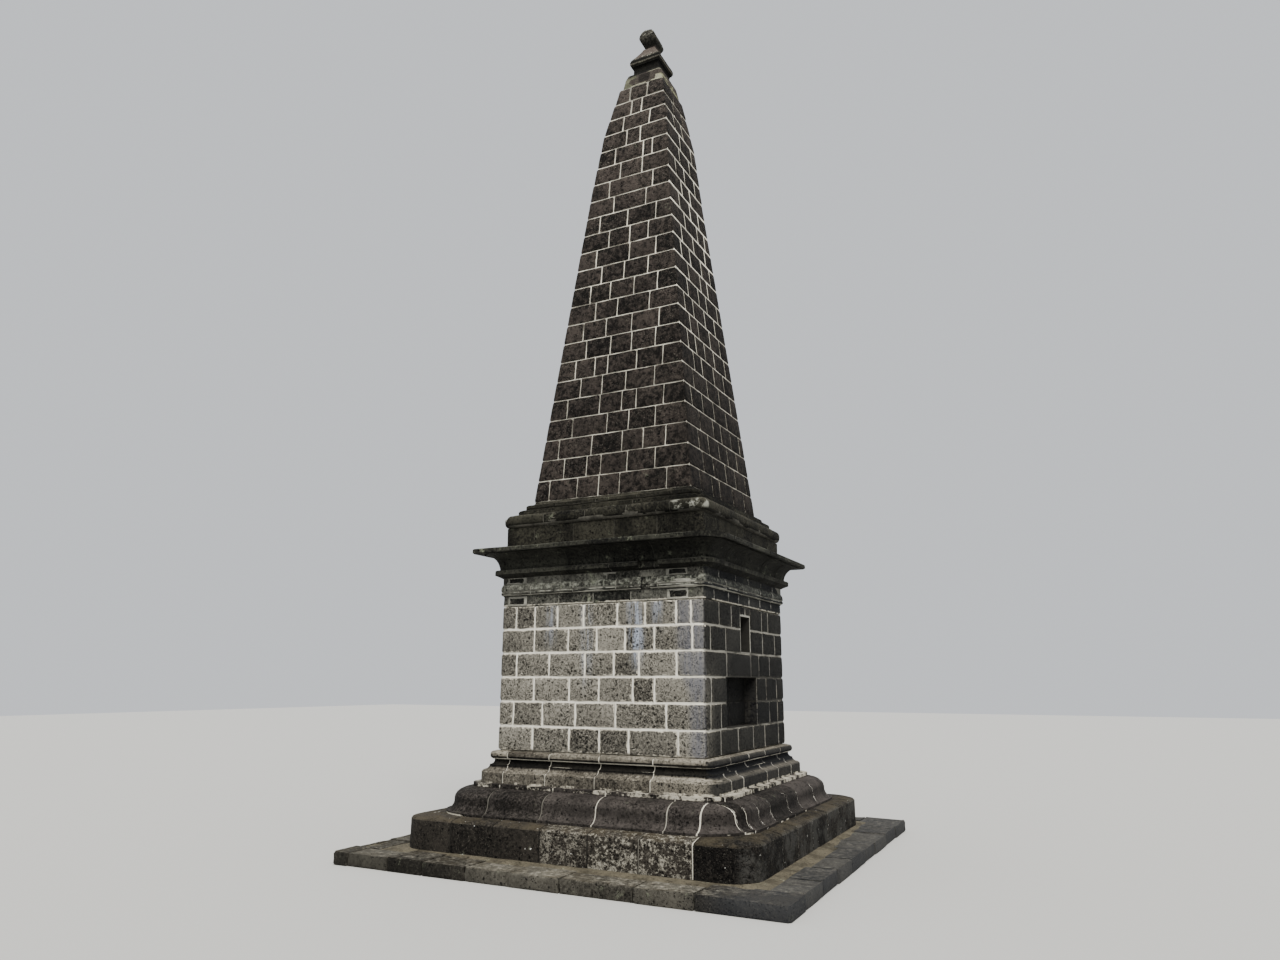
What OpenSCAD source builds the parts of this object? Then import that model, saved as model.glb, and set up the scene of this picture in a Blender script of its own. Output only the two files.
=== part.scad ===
// Obelisk of dark coursed stone on a moulded pedestal, in millimetres.
// The origin is on the ground under the middle of the base, +Z is up.
// The broad lit face of the photograph looks along -Y and the shaded one along +X.

/* [Base] */
// Width of the low ground course
slab_w = 4060; // [3700:10:4400]
// Height of the ground course that shows
slab_h = 110; // [60:5:200]
// Width of the plinth step
step_w = 3290; // [3180:10:3400]
// Height of the plinth step with its worn top
step_h = 275; // [180:5:320]
// Radius of the upright corners of the plinth step
step_corner = 240; // [130:5:300]
// Width over the foot of the ogee course
ogee_w = 3010; // [2940:10:3080]
// Height of the ogee course with its fillet
ogee_h = 250; // [235:5:320]
// Width of the block course over the ogee
block_w = 2400; // [2340:10:2440]
// Height of the block course with its weathering
block_h = 150; // [130:5:200]
// Height of the scotia and torus under the die
base_torus_h = 123; // [110:1:150]

/* [Die] */
// Width of the die
die_w = 2110; // [2040:10:2160]
// Radius of the upright corners of the die
die_corner = 30; // [20:5:80]
// Height of one course of the die
die_course_h = 220; // [200:5:260]
// Width of the wide recess in the shaded face
recess_w = 795; // [600:5:900]
// How far the middle of the wide recess lies from the middle of the face
recess_off = -178; // [-250:1:0]
// Depth of the wide recess
recess_d = 130; // [60:5:250]
// Width of the upright niche in the shaded face
niche_w = 250; // [150:5:350]
// Height of the upright niche
niche_h = 330; // [240:5:400]
// How far the middle of the niche lies from the middle of the face
niche_off = -55; // [-150:1:100]
// Depth of the upright niche
niche_d = 150; // [60:5:250]

/* [Entablature] */
// Height of the plain course under the architrave moulding
frieze_lower_h = 94; // [70:1:130]
// Height of the architrave moulding
architrave_h = 114; // [100:1:140]
// Height of the plain course over the architrave moulding
frieze_upper_h = 62; // [40:1:90]
// Height of the hollow moulding under the cornice
cornice_bed_h = 227; // [200:1:260]
// Width of the cornice
cornice_w = 2570; // [2520:10:2640]
// Height of the cornice face
corona_h = 48; // [40:1:80]

/* [Shaft] */
// Width of the square block that the shaft stands on
shaft_plinth_w = 2100; // [2040:10:2140]
// Height of that block
shaft_plinth_h = 214; // [150:1:260]
// Height of the torus on the block
shaft_torus_h = 133; // [110:1:160]
// Height of the fillets and the flare at the foot of the shaft
shaft_foot_h = 150; // [140:1:180]
// Width of the shaft at its foot
shaft_foot_w = 1720; // [1640:10:1760]
// Width of the shaft where its last courses lean in more
shaft_bend_w = 790; // [700:10:840]
// Width of the shaft at its head
shaft_head_w = 550; // [500:10:640]
// Height of the coursed shaft
shaft_h = 4950; // [4400:10:5200]
// Number of courses in the shaft
shaft_courses = 23; // [21:1:24]
// Number of courses at the head that lean in more
shaft_bent_courses = 3; // [1:1:5]
// Width of the worn arris of the shaft, seen at 45 degrees
shaft_arris = 26; // [10:1:40]
// How far the head of the shaft leans over along X
shaft_lean_x = 28; // [0:1:40]
// How far the head of the shaft leans over along Y
shaft_lean_y = 13; // [0:1:40]
// Number of courses over which it leans
shaft_lean_courses = 6; // [1:1:12]

/* [Top] */
// Height of the worn course over the shaft
shaft_top_h = 215; // [150:5:240]
// Width over the fillet of the cap
cap_w = 386; // [370:1:400]
// Height of the cap with its neck
cap_h = 195; // [180:1:220]
// How far the cap stands off centre along X
cap_off_x = 33; // [0:1:40]
// How far the cap stands off centre along Y
cap_off_y = 16; // [0:1:40]
// Height of the finial with its spread foot
finial_h = 515; // [480:5:600]
// How far the worn bud has sagged on the side of the shaded face, per mm across
bud_sag = 0.18; // [0:0.01:0.25]

/* [Hidden] */
$fn = 64;

// The die has six courses: the wide recess takes two of them, the niche most of two more
die_courses = 6;

// Heights at which the courses meet, from the ground up
step_z = slab_h;
ogee_z = step_z + step_h;
block_z = ogee_z + ogee_h;
base_torus_z = block_z + block_h;
die_z = base_torus_z + base_torus_h;
frieze_lower_z = die_z + die_courses * die_course_h;
architrave_z = frieze_lower_z + frieze_lower_h;
frieze_upper_z = architrave_z + architrave_h;
cornice_bed_z = frieze_upper_z + frieze_upper_h;
corona_z = cornice_bed_z + cornice_bed_h;
shaft_plinth_z = corona_z + corona_h;
shaft_torus_z = shaft_plinth_z + shaft_plinth_h;
shaft_foot_z = shaft_torus_z + shaft_torus_h;
shaft_z = shaft_foot_z + shaft_foot_h;
shaft_top_z = shaft_z + shaft_h;
cap_z = shaft_top_z + shaft_top_h;
finial_z = cap_z + cap_h;

// The corners of every moulding turn about the same upright line as the corner of the die
turn = die_w / 2 - die_corner;
die_out = die_w / 2;
shaft_course_h = shaft_h / shaft_courses;
shaft_bend_z = shaft_top_z - shaft_bent_courses * shaft_course_h;
past = 60;

stone_warm = "#7b7168";
stone_dark = "#45413d";
stone_black = "#33312f";
stone_grey = "#5d5b57";

// Half the width of the shaft at a height, straight up to the bend and steeper above it
function between(a, b, t) = a + (b - a) * t;
function shaft_half(z) = z < shaft_bend_z
    ? between(shaft_foot_w, shaft_bend_w, (z - shaft_z) / (shaft_bend_z - shaft_z)) / 2
    : between(shaft_bend_w, shaft_head_w, (z - shaft_bend_z) / (shaft_top_z - shaft_bend_z)) / 2;

// How far over the head a course of the shaft has leant, from 0 to 1
function lean_share(number) = max(0, (number - shaft_courses + shaft_lean_courses) / shaft_lean_courses);

// Points of a half round that bulges out from one height to another, flatter where it is full
function half_round(x, z0, z1, bulge, full = 1, steps = 8) =
    [for (i = [0:steps])
        [x + bulge * pow(sin(180 * i / steps), full), (z0 + z1) / 2 - (z1 - z0) / 2 * cos(180 * i / steps)]];

// Points of a hollow quarter that stands upright at its foot and ends level at its head
function hollow_out(x0, z0, x1, z1, steps = 8) =
    [for (i = [0:steps]) [x1 - (x1 - x0) * cos(90 * i / steps), z0 + (z1 - z0) * sin(90 * i / steps)]];

// Points of a hollow quarter that starts level at its foot and ends upright at its head
function hollow_in(x0, z0, x1, z1, steps = 6) =
    [for (i = [0:steps]) [x0 - (x0 - x1) * sin(90 * i / steps), z1 - (z1 - z0) * cos(90 * i / steps)]];

// Points of a round quarter that starts upright at its foot and ends level at its head
function round_in(x0, z0, x1, z1, steps = 6) =
    [for (i = [0:steps]) [x1 + (x0 - x1) * cos(90 * i / steps), z0 + (z1 - z0) * sin(90 * i / steps)]];

// The left half of a profile, read downwards, closes it to a full section
function mirrored(profile) = [for (i = [len(profile) - 1:-1:0]) [-profile[i][0], profile[i][1]]];

// One straight run of a profile across the whole width, as long as the flat of the face
module run(profile, length) {
    rotate([90, 0, 0])
        linear_extrude(length, center = true)
            polygon(concat(profile, mirrored(profile)));
}

// A course with this profile on all four sides, its corners turned about upright lines
module moulded(profile, centre = turn) {
    foot = profile[0][1];
    head = profile[len(profile) - 1][1];
    section = concat([[0, foot]], [for (p = profile) [p[0] - centre, p[1]]], [[0, head]]);
    run(profile, 2 * centre);
    rotate([0, 0, 90]) run(profile, 2 * centre);
    for (quarter = [0:3])
        rotate([0, 0, 90 * quarter])
            translate([centre, centre, 0])
                rotate_extrude(angle = 90)
                    polygon(section);
}

// A square course with this profile whose faces meet in sharp mitres
module mitred(profile) {
    reach = 2 * max([for (p = profile) p[0]]) + past;
    intersection() {
        run(profile, reach);
        rotate([0, 0, 90]) run(profile, reach);
    }
}

// A plain straight course with rounded upright corners
module plain_course(half, z, height, centre = turn) {
    moulded([[half, z], [half, z + height]], centre);
}

// A length of the tapering shaft with its four worn arrises
module shaft_length(z, height) {
    low = shaft_half(z);
    high = shaft_half(z + height);
    cut = shaft_arris / 2;
    intersection() {
        mitred([[low, z], [high, z + height]]);
        rotate([0, 0, 45])
            mitred([[low * sqrt(2) - cut, z], [high * sqrt(2) - cut, z + height]]);
    }
}

// The space of the wide recess, open through the +X face
module recess_space() {
    translate([die_out - recess_d, recess_off - recess_w / 2, die_z + die_course_h])
        cube([recess_d + past, recess_w, 2 * die_course_h]);
}

// The space of the upright niche, open through the +X face
module niche_space() {
    niche_z = die_z + 4 * die_course_h + 12;
    translate([die_out - niche_d, niche_off - niche_w / 2, niche_z])
        cube([niche_d + past, niche_w, niche_h]);
}

module ground_course() {
    color(stone_grey)
        translate([-slab_w / 2, -slab_w / 2, 0])
            cube([slab_w, slab_w, slab_h]);
}

// Plinth step: an upright face and a top that is worn down towards its edge
module plinth_step() {
    face = step_w / 2;
    color(stone_black)
        moulded([[face, step_z], [face, ogee_z - 36], [face - 12, ogee_z - 22], [face - 60, ogee_z - 10],
                 [face - 120, ogee_z]], face - step_corner);
}

// Ogee course: a small upright lip, a hollow, a round and a fillet on top
module base_ogee() {
    lip = 20;
    fillet = 36;
    outer = ogee_w / 2;
    waist = outer - 72;
    inner = block_w / 2 + 74;
    mid = ogee_z + lip + 92;
    top = ogee_z + ogee_h - fillet;
    color(stone_dark)
        moulded(concat(
            [[outer, ogee_z]],
            hollow_in(outer, ogee_z + lip, waist, mid),
            round_in(waist, mid + 10, inner, top),
            [[inner - 5, top + 4], [inner - 5, ogee_z + ogee_h]]));
}

// Block course: an upright face with a weathered slope above it
module base_block() {
    face = block_w / 2;
    upright = block_h - 60;
    color(stone_dark)
        moulded([
            [face, block_z],
            [face, block_z + upright],
            [face - 14, block_z + upright + 14],
            [face - 50, block_z + upright + 25],
            [face - 68, block_z + upright + 42],
            [face - 72, block_z + block_h]]);
}

// Scotia and torus that carry the die
module base_torus() {
    neck = die_out + 30;
    ring_z = base_torus_z + 52;
    ring_top = base_torus_z + base_torus_h - 5;
    color(stone_dark)
        moulded(concat(
            [[neck + 34, base_torus_z], [neck + 10, base_torus_z + 14], [neck, base_torus_z + 32]],
            half_round(neck, ring_z, ring_top, 42, 0.6),
            [[neck - 12, die_z]]));
}

module die_course(number) {
    color(stone_warm)
        difference() {
            plain_course(die_out, die_z + (number - 1) * die_course_h, die_course_h);
            if (number == 2 || number == 3) recess_space();
            if (number == 5 || number == 6) niche_space();
        }
}

module frieze_lower() {
    color(stone_dark)
        plain_course(die_out + 2, frieze_lower_z, frieze_lower_h);
}

// Architrave moulding: a fillet, a small half round and a broad round band that is worn down
// towards its top, broken away on the front
module architrave() {
    back = die_out + 8;
    foot = architrave_z;
    gap_w = 95;
    color(stone_grey)
        difference() {
            moulded(concat(
                [[back + 2, foot], [back + 2, foot + 10]],
                half_round(back + 6, foot + 12, foot + 44, 21, 0.6),
                [[back + 24, foot + 50], [back + 27, foot + 62], [back + 25, foot + 80], [back + 19, foot + 96],
                 [back + 8, frieze_upper_z]]));
            translate([450, -back - past, architrave_z + 8])
                rotate([0, 7, 0])
                    cube([gap_w, past + 6, architrave_h + past]);
        }
}

module frieze_upper() {
    color(stone_dark)
        plain_course(die_out + 18, frieze_upper_z, frieze_upper_h);
}

// Bed of the cornice: a fillet on a small round, broken away for a stretch, and a deep hollow above
module cornice_bed() {
    fillet_out = die_out + 98;
    fillet_z = cornice_bed_z + 30;
    fillet_top = fillet_z + 36;
    gap_w = 205;
    color(stone_black)
        difference() {
            moulded(concat(
                [[die_out + 28, cornice_bed_z], [die_out + 40, fillet_z - 23], [fillet_out - 34, fillet_z - 13],
                 [fillet_out - 12, fillet_z - 5], [fillet_out, fillet_z], [fillet_out, fillet_top]],
                hollow_out(die_out + 50, fillet_top + 6, cornice_w / 2 - 22, corona_z)));
            translate([450, -fillet_out - past, cornice_bed_z - past])
                cube([gap_w, past + 40, past + 69]);
        }
}

// Corona: the projecting face of the cornice, worn round at its front corner over the recess
module corona() {
    face = cornice_w / 2;
    color(stone_dark)
        difference() {
            moulded([[face - 16, corona_z], [face, corona_z + 10], [face, shaft_plinth_z - 8],
                     [face - 8, shaft_plinth_z]], face - 40);
            difference() {
                translate([turn, -face - past, corona_z - past])
                    cube([face - turn + past, face - turn + past, corona_h + 2 * past]);
                translate([turn, -turn, corona_z - 2 * past])
                    cylinder(r = face - turn, h = corona_h + 4 * past);
            }
        }
}

module shaft_plinth() {
    color(stone_dark)
        plain_course(shaft_plinth_w / 2, shaft_plinth_z, shaft_plinth_h, shaft_plinth_w / 2 - die_corner);
}

// Torus at the foot of the shaft, broken at its two front corners
module shaft_torus() {
    seat = shaft_plinth_w / 2 - 8;
    bulge = 45;
    corner = seat + bulge;
    color(stone_grey)
        difference() {
            moulded(concat(
                [[seat, shaft_torus_z], [seat, shaft_torus_z + 10]],
                half_round(seat, shaft_torus_z + 12, shaft_foot_z - 6, bulge, 0.7),
                [[seat - 10, shaft_foot_z]]), seat - 40);
            translate([corner, -corner, shaft_torus_z + 40])
                rotate([14, 0, 38])
                    cube([520, 96, 260], center = true);
            translate([-corner, -corner, shaft_foot_z])
                rotate([0, 24, -40])
                    cube([110, 300, 90], center = true);
        }
}

// Fillets and flare between the torus and the shaft
module shaft_foot() {
    lower = shaft_plinth_w / 2 - 24;
    upper = shaft_foot_w / 2 + 90;
    color(stone_grey)
        moulded(concat(
            [[lower, shaft_foot_z], [lower, shaft_foot_z + 42], [lower - 12, shaft_foot_z + 46]],
            hollow_in(lower - 20, shaft_foot_z + 48, upper - 14, shaft_foot_z + 74, 4),
            [[upper, shaft_foot_z + 78], [upper, shaft_foot_z + 104]],
            hollow_in(upper - 8, shaft_foot_z + 108, shaft_foot_w / 2, shaft_z, 5)),
            shaft_foot_w / 2 - 30);
}

module shaft_course(number) {
    color(stone_dark)
        translate([shaft_lean_x * lean_share(number), shaft_lean_y * lean_share(number), 0])
            shaft_length(shaft_z + (number - 1) * shaft_course_h, shaft_course_h);
}

// Last course of the shaft, worn round and broken at its left corner
module shaft_top() {
    half = shaft_head_w / 2;
    color(stone_dark)
        translate([shaft_lean_x, shaft_lean_y, 0])
            difference() {
                moulded([
                    [half - 2, shaft_top_z],
                    [half - 22, shaft_top_z + 0.46 * shaft_top_h],
                    [half - 36, shaft_top_z + 0.72 * shaft_top_h],
                    [half - 66, shaft_top_z + shaft_top_h]], half - 80);
                translate([-half, -half, cap_z])
                    rotate([20, -20, 45])
                        cube([150, 400, 110], center = true);
            }
}

// Small cap: a neck, a hollow and two fillets, off centre like the head that it stands on
module cap() {
    edge = cap_w / 2;
    neck = edge - 34;
    color(stone_dark)
        translate([cap_off_x, cap_off_y, 0])
            mitred(concat(
                [[neck, cap_z], [neck, cap_z + 80]],
                hollow_out(neck, cap_z + 84, edge - 15, cap_z + 128, 6),
                [[edge - 11, cap_z + 130], [edge - 11, cap_z + 150], [edge, cap_z + 154],
                 [edge, finial_z]]));
}

// Finial: a spread four-sided foot, a narrow neck and a worn bud that has weathered askew
module finial() {
    edge = cap_w / 2 - 6;
    neck_h = 222;
    neck_z = finial_z + neck_h;
    tip = finial_h - neck_h;
    full = 96;
    foot = [[edge, finial_z], [edge - 2, finial_z + 20], [edge - 19, finial_z + 49],
            [edge - 41, finial_z + 82], [edge - 65, finial_z + 123], [edge - 88, finial_z + 164],
            [edge - 109, neck_z - 16], [edge - 116, neck_z]];
    bud = [[edge - 127, -34 - full], [edge - 116, -full], [edge - 104, 30 - full], [edge - 88, 62 - full],
           [edge - 78, -8], [edge - 76, 10], [edge - 86, 62], [edge - 110, 122],
           [edge - 142, tip - 26 - full], [22, tip - full]];
    color(stone_dark)
        translate([cap_off_x, cap_off_y, 0]) {
            mitred(foot);
            translate([0, 0, neck_z + full])
                multmatrix([[1, 0, -0.6 * bud_sag, 0], [0, 1, -0.3 * bud_sag, 0], [-bud_sag, -bud_sag / 2, 1, 0]])
                    mitred(bud);
        }
}

function die_name(number) = str("die_course_", number);
function shaft_name(number) = str("shaft_course_", number < 10 ? "0" : "", number);

ground_course();
plinth_step();
base_ogee();
base_block();
base_torus();
for (n = [1:die_courses])
    die_course(n);
frieze_lower();
architrave();
frieze_upper();
cornice_bed();
corona();
shaft_plinth();
shaft_torus();
shaft_foot();
for (n = [1:shaft_courses])
    shaft_course(n);
shaft_top();
cap();
finial();
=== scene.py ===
import math
import random
from contextlib import contextmanager

import bpy
import numpy as np
from mathutils import Matrix, Vector, noise


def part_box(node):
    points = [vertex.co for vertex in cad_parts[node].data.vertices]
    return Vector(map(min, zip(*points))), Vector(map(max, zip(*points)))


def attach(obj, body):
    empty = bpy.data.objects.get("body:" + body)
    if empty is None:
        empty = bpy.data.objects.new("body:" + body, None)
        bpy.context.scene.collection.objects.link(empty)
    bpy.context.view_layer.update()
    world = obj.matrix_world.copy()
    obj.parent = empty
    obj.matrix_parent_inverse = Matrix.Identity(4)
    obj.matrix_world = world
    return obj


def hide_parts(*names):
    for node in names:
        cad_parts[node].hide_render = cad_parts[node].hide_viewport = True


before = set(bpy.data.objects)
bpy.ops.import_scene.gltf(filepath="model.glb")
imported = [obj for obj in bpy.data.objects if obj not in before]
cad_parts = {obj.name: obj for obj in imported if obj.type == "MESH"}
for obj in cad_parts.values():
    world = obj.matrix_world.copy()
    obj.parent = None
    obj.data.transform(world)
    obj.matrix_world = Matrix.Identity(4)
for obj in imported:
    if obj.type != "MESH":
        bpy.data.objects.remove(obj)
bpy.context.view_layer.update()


# The ground course: a low bed of dark slabs around the foot, laid dry in earth. Only its outer
# stones show, and earth and old mortar fill the strip behind them.

class Wire:
    """A value in a shader that adds its own Math nodes when it is used in a sum."""

    def __init__(self, tree, socket):
        self.tree = tree
        self.socket = socket

    def maths(self, operation, *values):
        node = self.tree.nodes.new("ShaderNodeMath")
        node.operation = operation
        for slot, value in zip(node.inputs, values):
            if isinstance(value, Wire):
                self.tree.links.new(value.socket, slot)
            else:
                slot.default_value = value
        return Wire(self.tree, node.outputs[0])

    def __add__(self, other):
        return self.maths("ADD", self, other)

    __radd__ = __add__

    def __sub__(self, other):
        return self.maths("SUBTRACT", self, other)

    def __rsub__(self, other):
        return self.maths("SUBTRACT", other, self)

    def __mul__(self, other):
        return self.maths("MULTIPLY", self, other)

    __rmul__ = __mul__

    def over(self, low, high):
        """Rises smoothly from 0 at low to 1 at high."""
        node = self.tree.nodes.new("ShaderNodeMapRange")
        node.interpolation_type = "SMOOTHSTEP"
        self.tree.links.new(self.socket, node.inputs["Value"])
        node.inputs["From Min"].default_value = low
        node.inputs["From Max"].default_value = high
        return Wire(self.tree, node.outputs["Result"])

    def under(self, high, low):
        """Falls smoothly from 1 at low to 0 at high."""
        return 1 - self.over(low, high)

    def between(self, low, rise, fall, high):
        """1 from rise to fall, and 0 below low and above high."""
        return self.over(low, rise) * self.under(high, fall)


class Finish:
    """A material whose nodes are added one at a time by their type, settings and inputs."""

    def __init__(self, name):
        self.material = bpy.data.materials.new(name)
        self.material.use_nodes = True
        self.tree = self.material.node_tree
        self.tree.nodes.clear()
        self.place = self.add("ShaderNodeTexCoord", out="Object")
        self.shader = self.tree.nodes.new("ShaderNodeBsdfPrincipled")
        self.shader.inputs["Specular IOR Level"].default_value = 0.12
        self.rough = 0.88
        output = self.tree.nodes.new("ShaderNodeOutputMaterial")
        self.tree.links.new(self.shader.outputs[0], output.inputs[0])

    def plug(self, value, socket):
        if isinstance(value, Wire):
            self.tree.links.new(value.socket, socket)
        elif isinstance(value, tuple) and len(value) == 3 and socket.type == "RGBA":
            socket.default_value = (*value, 1)
        else:
            socket.default_value = value

    def add(self, kind, settings=None, inputs=None, out=0):
        node = self.tree.nodes.new(kind)
        for key, value in (settings or {}).items():
            setattr(node, key, value)
        for key, value in (inputs or {}).items():
            self.plug(value, node.inputs[key])
        return Wire(self.tree, node.outputs[out])

    def own(self, name):
        """A value that the piece's mesh carries, such as the tone of each stone."""
        return self.add("ShaderNodeAttribute", {"attribute_name": name}, out="Fac")

    def part(self, axis):
        return self.add("ShaderNodeSeparateXYZ", None, {0: self.place}, out=axis)

    def above(self, node):
        """The height over the foot of a course."""
        return self.part("Z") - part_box(node)[0].z

    def facing(self, axis):
        normal = self.add("ShaderNodeNewGeometry", out="Normal")
        return self.add("ShaderNodeSeparateXYZ", None, {0: normal}, out=axis)

    def stretched(self, size, shift=(0, 0, 0)):
        return self.add("ShaderNodeMapping", None,
                        {"Vector": self.place, "Scale": size, "Location": shift})

    def cloud(self, scale, detail=4.0, rough=0.55, at=None):
        where = at or self.place
        return self.add("ShaderNodeTexNoise", None,
                        {"Vector": where, "Scale": scale, "Detail": detail, "Roughness": rough})

    def bent(self, scale, amount):
        """The place pushed about by a cloud, so that what is laid there gets ragged edges."""
        push = self.add("ShaderNodeTexNoise", None,
                        {"Vector": self.place, "Scale": scale, "Detail": 2.0}, out="Color")
        push = self.add("ShaderNodeVectorMath", {"operation": "SUBTRACT"}, {0: push, 1: (0.5, 0.5, 0.5)})
        push = self.add("ShaderNodeVectorMath", {"operation": "SCALE"}, {0: push, "Scale": amount})
        return self.add("ShaderNodeVectorMath", {"operation": "ADD"}, {0: self.place, 1: push})

    def blend(self, share, first, second):
        """Goes from the first colour to the second as the share goes from 0 to 1."""
        return self.add("ShaderNodeMix", {"data_type": "RGBA"},
                        {0: share, 6: first, 7: second}, out=2)

    def stain_and_light(self, share, colour):
        """Lays a second colour over the finish so far, for real stains and for painted light and shade."""
        self.colour = self.blend(share, self.colour, colour)

    def shade(self, value):
        """Makes the finish so far darker or lighter by a factor."""
        grey = self.add("ShaderNodeCombineXYZ", None, {0: value, 1: value, 2: value})
        self.colour = self.add("ShaderNodeMix", {"data_type": "RGBA", "blend_type": "MULTIPLY"},
                               {0: 1.0, 6: self.colour, 7: grey}, out=2)

    def done(self, height=0.008):
        """The finished material, with a relief of the given height."""
        self.plug(self.colour, self.shader.inputs["Base Color"])
        self.plug(self.rough, self.shader.inputs["Roughness"])
        bump = self.add("ShaderNodeBump", None, {"Height": self.relief, "Distance": height})
        self.tree.links.new(bump.socket, self.shader.inputs["Normal"])
        return self.material


LIME = (0.60, 0.56, 0.46)
LICHEN = (0.22, 0.235, 0.17)
SOIL = (0.060, 0.050, 0.032)


def turned_from_light(f):
    """How much painted shade the faces turned from the light get, from 0 to 1: most on +X, less on +Y and
    -X.
    """
    shaded = f.facing("X").over(0.25, 0.8) + 0.7 * f.facing("Y").over(0.25, 0.8)
    return shaded + 0.25 * f.facing("X").under(-0.25, -0.8)


def stone_finish(name, dark, light, pores=0.5, lime=0.5, lichen=0.1, damp=0.0, earth=0.0, side_shade=0.0,
                 rugged=2.0, varied=0.6, blotch=38.0):
    """Porous volcanic stone: each block has its own tone, with gas holes, lime, lichen and dirt, and painted
    light and shade.
    """
    f = Finish(name)
    broad = f.cloud(2.3, 5.0, 0.6)
    mottle = f.cloud(blotch, 7.0, 0.72)
    grain = f.cloud(160.0, 3.0, 0.75)
    share = varied * (f.own("tone") - 0.5) + 0.3 + 0.7 * broad + rugged * mottle + grain
    f.colour = f.blend((share - 0.65 - rugged / 2).over(0.0, 1.0), dark, light)

    grit = f.own("grit")
    ragged_place = f.bent(45.0, 0.022)
    amount = pores * (0.2 + 0.8 * grit) * (0.35 + 0.65 * f.cloud(6.0, 3.0).over(0.35, 0.62))

    def holes(scale, share, channel, floor, edge):
        cells = {"Vector": ragged_place, "Scale": scale}
        away = f.add("ShaderNodeTexVoronoi", None, cells, out="Distance")
        colour = f.add("ShaderNodeTexVoronoi", None, cells, out="Color")
        pick = f.add("ShaderNodeSeparateXYZ", None, {0: colour}, out=channel)
        return (amount * share - pick).over(0.0, 0.05) * away.under(edge, floor)

    big = holes(30.0, 0.8, 0, 0.20, 0.40)
    f.hole = big.maths("MAXIMUM", big, 0.85 * holes(75.0, 1.7, 1, 0.24, 0.48))
    # Painted shade in the gas holes.
    f.shade(1 - 0.85 * f.hole)

    fleck = f.cloud(85.0, 2.0, 0.5).over(0.62, 0.70) * (0.25 + 0.75 * grit)
    f.stain_and_light((0.05 + 0.5 * lime) * fleck, LIME)
    ragged = f.cloud(21.0, 7.0, 0.72)
    smear = ((ragged - 0.42) * (0.11 * lime) - f.own("rim")).over(0.0, 0.006) * (0.45 + 0.55 * mottle)
    f.stain_and_light(smear, LIME)
    spots = f.cloud(9.0, 7.0, 0.72) + 0.22 * grain - 0.11
    grown = spots.over(0.66 - 0.2 * lichen, 0.76 - 0.12 * lichen)
    f.stain_and_light(grown * min(1.0, 0.35 + lichen), LICHEN)

    if damp:
        wet = f.cloud(1.0, 6.0, 0.6, f.stretched((4.0, 4.0, 0.9), (0.0, 2.0, 0.0)))
        f.shade(1 - damp * wet.over(0.40, 0.66))
    slope = f.facing("Z")
    # Painted light on upward faces and painted shade on soffits.
    f.shade(1 + 0.5 * slope.over(0.15, 0.7) - 0.55 * slope.under(-0.15, -0.6))
    # Painted shade on the faces turned from the light.
    if side_shade:
        f.shade(1 - side_shade * turned_from_light(f))
    if earth:
        f.stain_and_light(slope.over(0.5, 0.9) * f.cloud(5.0, 6.0, 0.7).over(0.38, 0.62) * earth, SOIL)
    f.relief = grain * 0.35 + mottle * 0.6 - f.hole * 1.2 + broad * 0.3
    f.rough = 0.88 - 0.06 * smear
    return f


def pointed(f, wide, share=0.8):
    """Lime smeared over the joints of the shaded face."""
    ragged = 0.03 * f.cloud(25.0, 6.0, 0.7) - 0.015
    line = (wide + ragged - f.own("rim")).over(0.0, 0.005) * f.facing("X").over(0.3, 0.6)
    f.stain_and_light(share * line * f.part("X").over(0.93, 0.95), (0.92, 0.89, 0.80))


def blue_shade(f, share):
    """Painted shade: the face turned from the light is tinted blue-black."""
    f.stain_and_light(share * f.facing("X").over(0.3, 0.6), (0.011, 0.0125, 0.0155))


def mortar_finish(name, dark, light, dirty, side_shade=0.0):
    """Lime mortar: pale and sandy, darkened by weather where rain and damp reach it, with painted shade on
    the faces turned from the light.
    """
    f = Finish(name)
    sand = f.cloud(230.0, 2.0, 0.6)
    lump = f.cloud(30.0, 5.0, 0.65)
    f.colour = f.blend((lump * 0.9 + sand * 0.5 - 0.2).over(0.0, 1.0), dark, light)
    f.shade(1 - dirty * f.cloud(2.6, 7.0, 0.72).over(0.40, 0.60))
    # Painted shade on the faces turned from the light.
    if side_shade:
        f.shade(1 - side_shade * turned_from_light(f))
    f.relief = sand * 0.4 + lump
    return f


def only(*things):
    """Selects these pieces alone, the first of them active."""
    for other in bpy.context.selected_objects:
        other.select_set(False)
    for thing in things:
        thing.select_set(True)
    bpy.context.view_layer.objects.active = things[0]


@contextmanager
def editing(thing):
    """Edit mode on one piece, for as long as the block lasts."""
    only(thing)
    bpy.ops.object.mode_set(mode="EDIT")
    yield
    bpy.ops.object.mode_set(mode="OBJECT")


def cut(place, normal, **ends):
    """Cuts all of the mesh in edit mode along a plane."""
    bpy.ops.mesh.select_all(action="SELECT")
    bpy.ops.mesh.bisect(plane_co=place, plane_no=normal, **ends)


def mesh_of(thing):
    points = np.empty(len(thing.data.vertices) * 3)
    thing.data.vertices.foreach_get("co", points)
    return points.reshape(-1, 3)


def reshape_mesh(thing, points):
    thing.data.vertices.foreach_set("co", np.asarray(points, float).ravel())
    thing.data.update()


def carry(thing, name, values):
    """Gives every point of a mesh a value that its material reads."""
    layer = thing.data.attributes.get(name) or thing.data.attributes.new(name, "FLOAT", "POINT")
    values = np.broadcast_to(np.asarray(values, float), (len(thing.data.vertices),))
    layer.data.foreach_set("value", np.ascontiguousarray(values, float))


def twin(thing, name):
    """A copy with a mesh of its own."""
    other = thing.copy()
    other.data = thing.data.copy()
    other.name = name
    other.hide_render = False
    other.hide_viewport = False
    bpy.context.scene.collection.objects.link(other)
    return other


def joined(things, name):
    only(*things)
    if len(things) > 1:
        bpy.ops.object.join()
    things[0].name = name
    things[0].data.name = name
    return things[0]


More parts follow.
